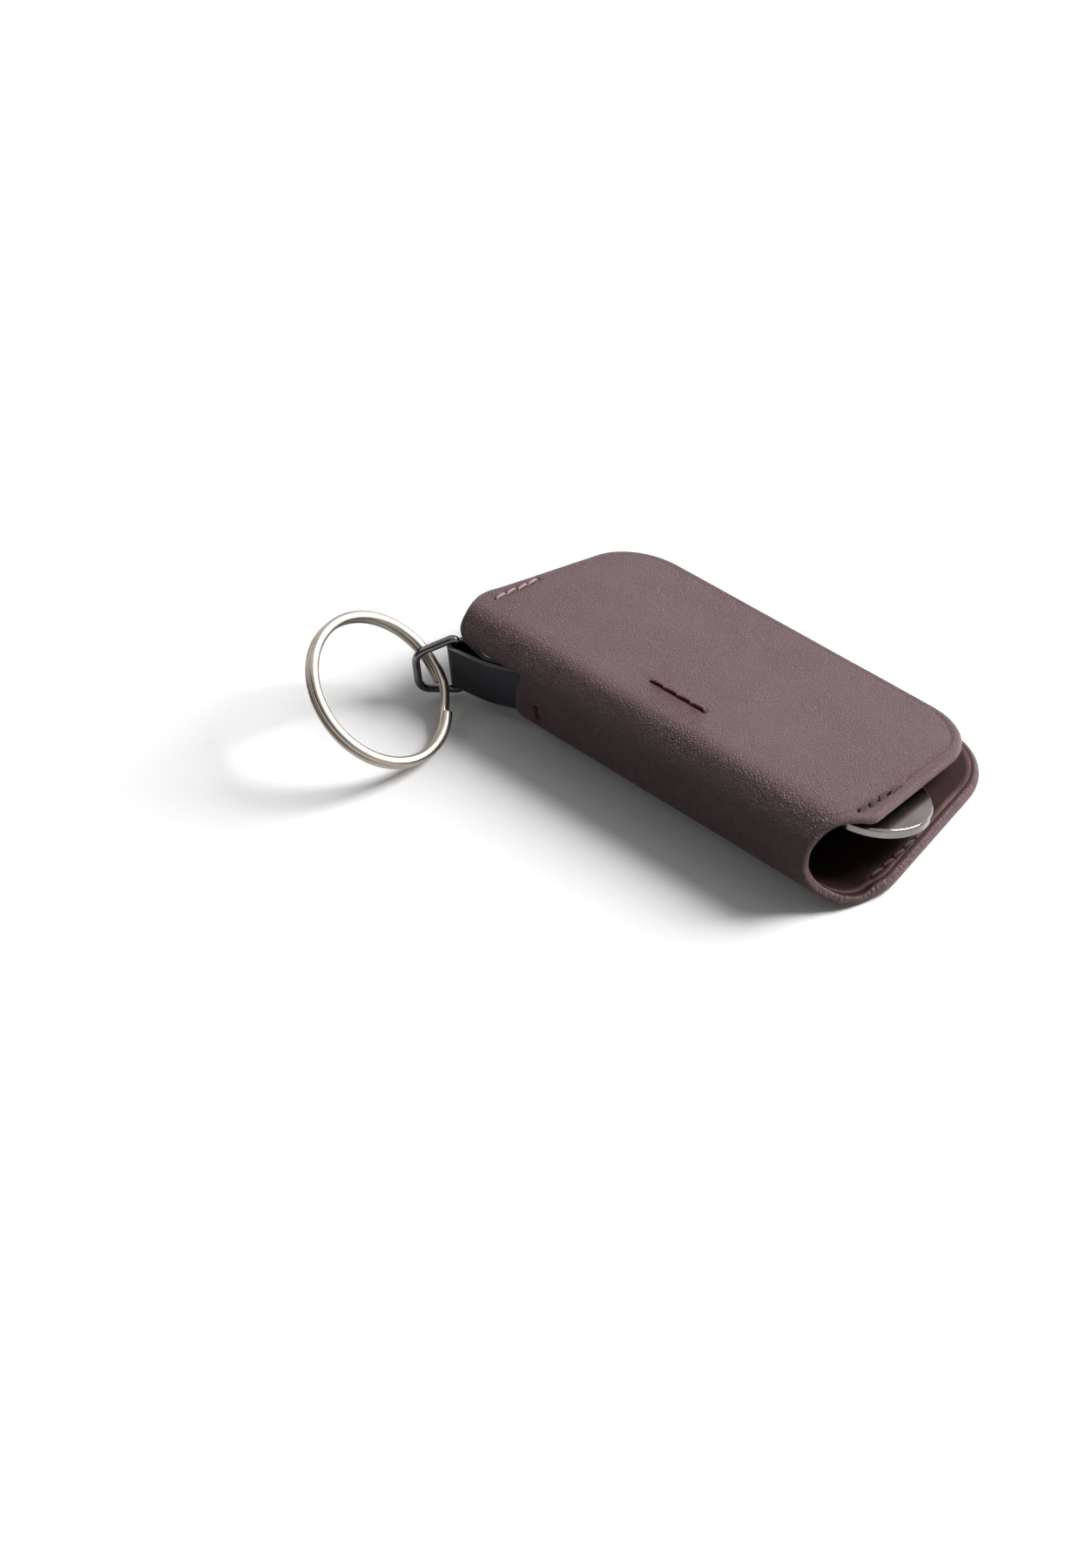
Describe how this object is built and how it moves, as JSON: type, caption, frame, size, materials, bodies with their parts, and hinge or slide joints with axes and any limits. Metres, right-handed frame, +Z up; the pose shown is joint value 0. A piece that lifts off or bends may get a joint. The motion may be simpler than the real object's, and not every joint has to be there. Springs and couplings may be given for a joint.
{
  "type": "key organiser",
  "caption": "Folded leather key cover with a key on a screw post inside, and a strap at one end carrying a wire loop and a split ring.",
  "frame": {"origin": "middle of the cover's underside, where it rests on the table", "axes": "+X along the folded spine, towards the end where the key bow shows; +Y from the spine to the closing edge; +Z up"},
  "size_m": [0.1081, 0.0834, 0.0216],
  "materials": {
    "cover_leather": "pebbled, brown with a purple cast",
    "lining_leather": "smooth, dark brown",
    "strap_leather": "matt black with a grey cut edge",
    "thread": "twisted sewing thread",
    "dark_wire": "dark plated",
    "ring_metal": "polished nickel",
    "post_metal": "plain",
    "spacer_plastic": "matt",
    "key_metal": "nickel plated",
    "magnet_metal": "plated"
  },
  "bodies": {
    "base": {"cover_lower": "cover_leather", "lining_lower": "lining_leather", "magnets_lower": "magnet_metal", "stitches_lower": "thread", "strap_sewn": "strap_leather", "tab_stitch": "thread"},
    "cover": {"cover_upper": "cover_leather", "lining_upper": "lining_leather", "magnets_upper": "magnet_metal", "stitches_upper": "thread", "post_barrel": "post_metal", "post_spacer": "spacer_plastic", "post_washer": "post_metal", "post_screw": "post_metal"},
    "key": {"key": "key_metal"},
    "tab": {"strap_free": "strap_leather"},
    "loop": {"wire_loop": "dark_wire"},
    "ring": {"split_ring": "ring_metal"}
  },
  "joints": [
    {"name": "cover_open", "type": "hinge", "parent": "base", "child": "cover", "pos_m": [0, -0.02457, 0.01349], "axis": [1, 0, 0], "range_deg": [0, 120]},
    {"name": "key_swing", "type": "hinge", "parent": "cover", "child": "key", "pos_m": [0.0359, -0.00389, 0.00912], "axis": [0, -0.2457, -0.9694], "range_deg": [0, 180]},
    {"name": "tab_flex", "type": "hinge", "parent": "base", "child": "tab", "pos_m": [-0.0298, -0.02355, 0.0087], "axis": [0, 0, 1], "range_deg": [-5, 25]},
    {"name": "loop_swing", "type": "hinge", "parent": "tab", "child": "loop", "pos_m": [-0.04423, -0.02405, 0.00734], "axis": [-0.0929, -0.0147, 0.9956], "range_deg": [-45, 25]},
    {"name": "ring_swing", "type": "hinge", "parent": "loop", "child": "ring", "pos_m": [-0.04718, -0.02798, 0.00708], "axis": [-0.7947, 0.1813, 0.5793], "range_deg": [-20, 30]}
  ],
  "couplings": [
    {"joint": "key_swing", "follows": "cover_open", "ratio": 1.5}
  ]
}
